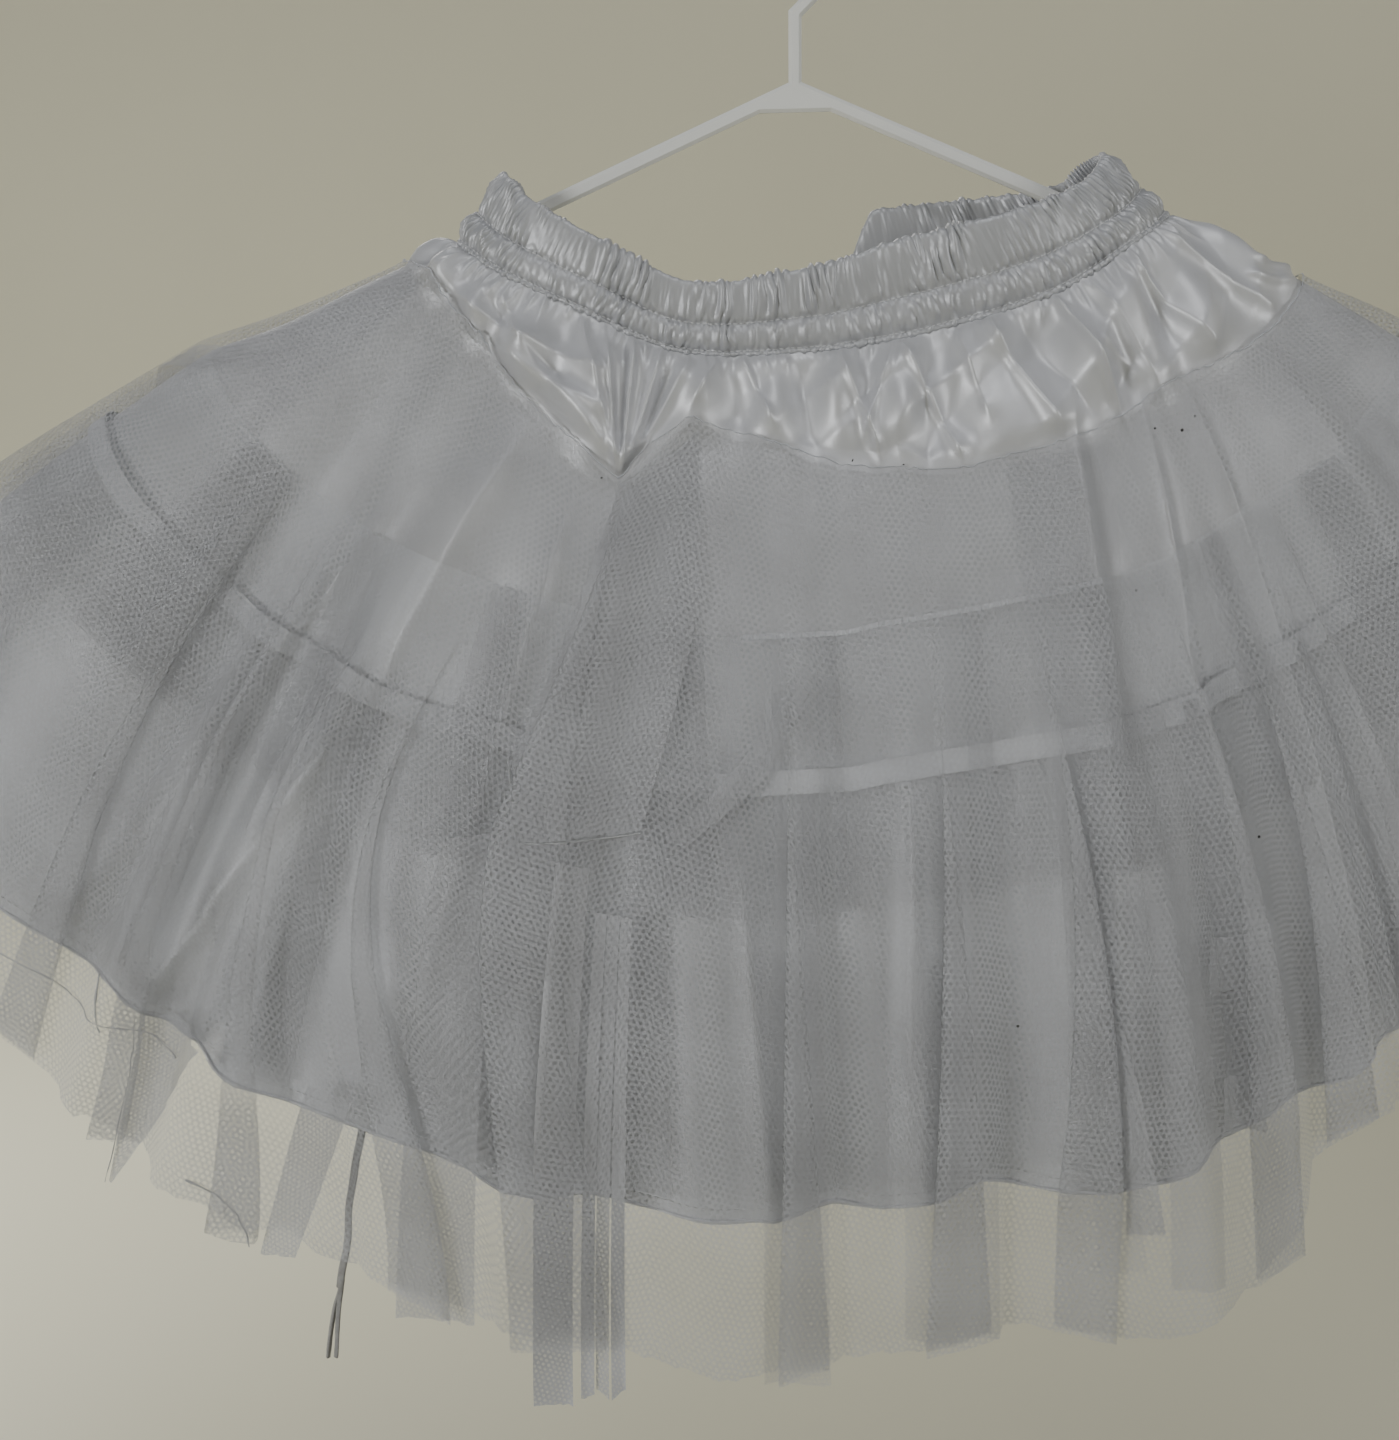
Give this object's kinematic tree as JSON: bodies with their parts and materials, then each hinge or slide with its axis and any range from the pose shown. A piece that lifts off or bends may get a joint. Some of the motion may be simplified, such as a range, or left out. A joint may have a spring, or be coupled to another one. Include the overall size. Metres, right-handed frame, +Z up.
{
  "type": "ballet tutu on a hanger",
  "caption": "Petticoat-style ballet tutu with a gathered satin waistband, satin yoke and lining and sheer pleated tulle, hung on a slim plastic hanger.",
  "frame": {"origin": "the inner top of the hanger's hook, where it rests on a rail", "axes": "+Z up, +Y to the back of the skirt, +X to the right as the skirt's front is seen"},
  "size_m": [0.9289, 0.2938, 0.5915],
  "materials": {
    "moulded": "white moulded plastic, softly glossy",
    "satin": "white polyester satin, glossy and crumpled",
    "tulle": "sheer white tulle, dull"
  },
  "bodies": {
    "root": {"hanger": "moulded", "waistband": "satin", "yoke": "satin", "lining": "satin", "tier_upper": "tulle", "tier_lower": "tulle", "tulle_over": "tulle", "rolled_strip": "tulle"}
  },
  "joints": []
}
